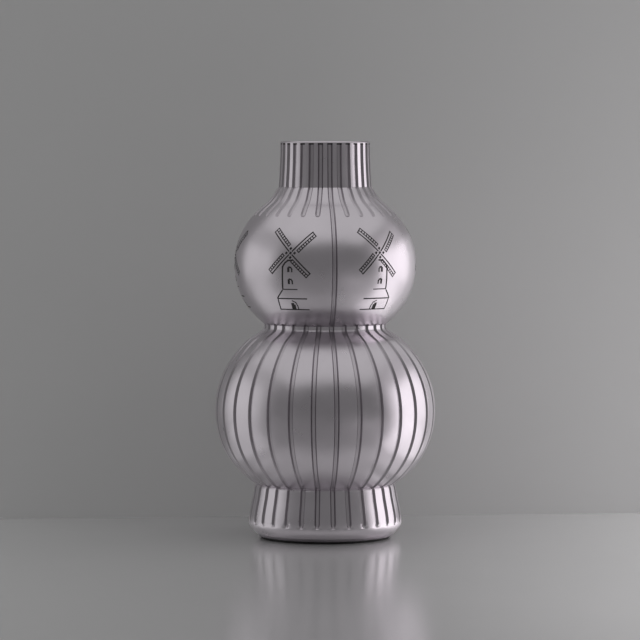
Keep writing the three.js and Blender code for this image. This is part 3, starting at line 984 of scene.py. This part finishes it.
def one_sided(name, left, middle, right, rough, ior, metallic=0.0):
    """A grey stage material whose grey changes from left to right, as painted light and shade, and which
    isn't seen from behind.
    """
    material, tree, shader = node_material(name)
    coordinates = tree.nodes.new("ShaderNodeTexCoord")
    split = tree.nodes.new("ShaderNodeSeparateXYZ")
    tree.links.new(coordinates.outputs["Object"], split.inputs["Vector"])
    across = add_range(tree, split.outputs["X"], 0, 1, -PAINTED_LIGHT_REACH, PAINTED_LIGHT_REACH)
    ramp = tree.nodes.new("ShaderNodeValToRGB")
    ramp.color_ramp.elements.new(0.5)
    for element, grey in zip(ramp.color_ramp.elements, (left, middle, right)):
        element.color = (grey, grey, grey, 1)
    tree.links.new(across, ramp.inputs["Fac"])
    tree.links.new(ramp.outputs["Color"], shader.inputs["Base Color"])
    smudge = add_noise(tree, 6.0)
    tree.links.new(add_range(tree, smudge, rough * 0.95, rough * 1.05), shader.inputs["Roughness"])
    shader.inputs["IOR"].default_value = ior
    shader.inputs["Metallic"].default_value = metallic
    clear = tree.nodes.new("ShaderNodeBsdfTransparent")
    geometry = tree.nodes.new("ShaderNodeNewGeometry")
    mix = tree.nodes.new("ShaderNodeMixShader")
    output = next(n for n in tree.nodes if n.type == "OUTPUT_MATERIAL")
    tree.links.new(geometry.outputs["Backfacing"], mix.inputs["Fac"])
    tree.links.new(shader.outputs["BSDF"], mix.inputs[1])
    tree.links.new(clear.outputs["BSDF"], mix.inputs[2])
    tree.links.new(mix.outputs["Shader"], output.inputs["Surface"])
    return material


def stage_plane(name, corners, material):
    mesh = bpy.data.meshes.new(name)
    mesh.from_pydata(corners, [], [tuple(range(len(corners)))])
    mesh.materials.append(material)
    plane = bpy.data.objects.new(name, mesh)
    bpy.context.scene.collection.objects.link(plane)


turn = math.radians(CAMERA_TURN)
away = Vector((-math.sin(turn), math.cos(turn), 0))
aside = Vector((math.cos(turn), math.sin(turn), 0))
up = Vector((0, 0, 1))
# The floor is painted darker in the middle, where the vase stands, as painted shade, and brighter at the
# sides, most to the right, as painted light; the wall is painted brighter to the right, as painted light.
floor_grey_and_painted_light = one_sided("floor_grey_and_painted_light", 0.65, 0.53, 0.86, rough=0.19, ior=2.2, metallic=0.3)
wall_grey_and_painted_light = one_sided("wall_grey_and_painted_light", 0.62, 0.60, 0.66, rough=0.8, ior=1.2)
floor_corners = [(x * FLOOR_REACH, y * FLOOR_REACH, 0) for x, y in ((-1, -1), (1, -1), (1, 1), (-1, 1))]
stage_plane("studio_floor", floor_corners, floor_grey_and_painted_light)
wall_turn = turn + math.radians(WALL_TURN)
wall_aside = Vector((math.cos(wall_turn), math.sin(wall_turn), 0))
foot_of_wall = away * WALL_DISTANCE
wall_ends = (foot_of_wall - wall_aside * WALL_LEFT, foot_of_wall + wall_aside * WALL_RIGHT)
wall_top = up * WALL_HEIGHT
stage_plane("studio_wall", [*wall_ends, wall_ends[1] + wall_top, wall_ends[0] + wall_top], wall_grey_and_painted_light)


# Lights, in metres and radiance
WHITE = (1, 1, 1)
WARM = (1.0, 0.97, 0.99)
LIGHTS_MIDDLE = 0.2
LOW_LIGHT_HEIGHT = 0.004
FOOT_LIGHT_HEIGHT = 0.0062
FOOT_LIGHT_SIZE = (0.1, 0.011)
WORLD_GREY = 0.185


def area_light(name, location, facing, width, height, radiance, colour=WHITE):
    """An even rectangular light that shines along its facing, and that the camera doesn't see."""
    light = bpy.data.lights.new(name, "AREA")
    light.shape = "RECTANGLE"
    light.size = width
    light.size_y = height
    light.energy = radiance * math.pi * width * height
    light.color = colour
    lamp = bpy.data.objects.new(name, light)
    lamp.location = location
    lamp.rotation_euler = facing.to_track_quat("-Z", "Y").to_euler()
    lamp.visible_camera = False
    bpy.context.scene.collection.objects.link(lamp)
    return lamp


def softbox(name, bearing, elevation, distance, width, height, radiance, colour=WHITE):
    """A light that faces the middle of the vase. Bearing 0 is the camera's side, 90 its right."""
    turn_to = math.radians(CAMERA_TURN + bearing)
    lift = math.radians(elevation)
    level = math.cos(lift)
    out = Vector((math.sin(turn_to) * level, -math.cos(turn_to) * level, math.sin(lift)))
    area_light(name, up * LIGHTS_MIDDLE + out * distance, -out, width, height, radiance, colour)


def low_light(name, left, right, front, back, radiance, colour=WHITE):
    """A light on the floor round the vase that only its gloss shows."""
    middle = aside * ((left + right) / 2) + away * ((front + back) / 2) + up * LOW_LIGHT_HEIGHT
    lamp = area_light(name, middle, up, right - left, back - front, radiance, colour)
    lamp.rotation_euler.rotate_axis("Z", -turn)
    lamp.visible_diffuse = False


def foot_light(name, across, radiance, colour=WHITE):
    """A low strip beside the foot, facing it, that only its gloss shows."""
    facing = away * 0.16 - aside * math.copysign(1, across) - up * 0.05
    location = aside * across + up * FOOT_LIGHT_HEIGHT
    lamp = area_light(name, location, facing, *FOOT_LIGHT_SIZE, radiance, colour)
    lamp.visible_diffuse = False


softbox("right_softbox", 101, 2, 0.8, 0.86, 0.46, radiance=1.02, colour=(1.0, 0.96, 0.99))
softbox("right_glow", 103, 12, 0.95, 1.3, 0.8, radiance=0.38, colour=WARM)
softbox("left_softbox", -95, 3, 0.85, 0.8, 0.5, radiance=0.27)
softbox("left_glow", -97, 12, 0.95, 1.3, 0.8, radiance=0.27)
low_light("right_low_light", 0.135, 0.76, -0.115, 0.14, radiance=0.56, colour=WARM)
low_light("right_near_light", 0.085, 0.16, -0.085, 0.09, radiance=0.26, colour=WARM)
low_light("left_low_light", -0.76, -0.132, -0.118, 0.14, radiance=0.21)
low_light("left_near_light", -0.15, -0.085, -0.09, 0.09, radiance=0.09)
low_light("front_low_light", -0.10, 0.11, -0.125, 0.0, radiance=0.075)
foot_light("right_foot_light", 0.066, radiance=0.5, colour=WARM)
foot_light("left_foot_light", -0.066, radiance=0.14)
area_light("top_softbox", away * -0.3 + up * 1.55, -up, 3.4, 2.9, radiance=0.47)
wall_light = area_light(
    "right_wall_light", aside * 0.42 - away * 0.08 + up * 0.14, away - aside * 0.7,
    0.3, 0.3, radiance=0.37, colour=(1.0, 0.96, 0.97),
)
wall_light.visible_glossy = False
floor_light = area_light(
    "right_floor_light", aside * 0.36 - away * 0.45 + up * 0.26, -up - aside * 0.2,
    0.3, 0.3, radiance=1.05, colour=(1.0, 0.95, 0.99),
)
floor_light.visible_glossy = False
edge_light = area_light(
    "right_edge_light", aside * 0.132 + away * 0.095 + up * 0.14, away * 0.05 - aside,
    0.1, 0.23, radiance=0.3,
)
edge_light.visible_diffuse = False

world = bpy.data.worlds.new("studio")
bpy.context.scene.world = world
world.use_nodes = True
background = world.node_tree.nodes["Background"]
background.inputs["Color"].default_value = (WORLD_GREY, WORLD_GREY, WORLD_GREY, 1)
background.inputs["Strength"].default_value = 1.0

# Camera
camera_data = bpy.data.cameras.new("camera")
camera_data.lens = CAMERA_LENS
camera_data.sensor_width = CAMERA_SENSOR
camera_data.clip_end = CAMERA_CLIP
camera = bpy.data.objects.new("camera", camera_data)
camera.location = -away * CAMERA_DISTANCE + up * CAMERA_HEIGHT
camera_tilt = math.radians(90 + CAMERA_PITCH)
camera.rotation_euler = Euler((camera_tilt, 0, turn + math.radians(CAMERA_YAW)), "XYZ")
bpy.context.scene.collection.objects.link(camera)
bpy.context.scene.camera = camera
bpy.context.scene.view_settings.view_transform = "Standard"
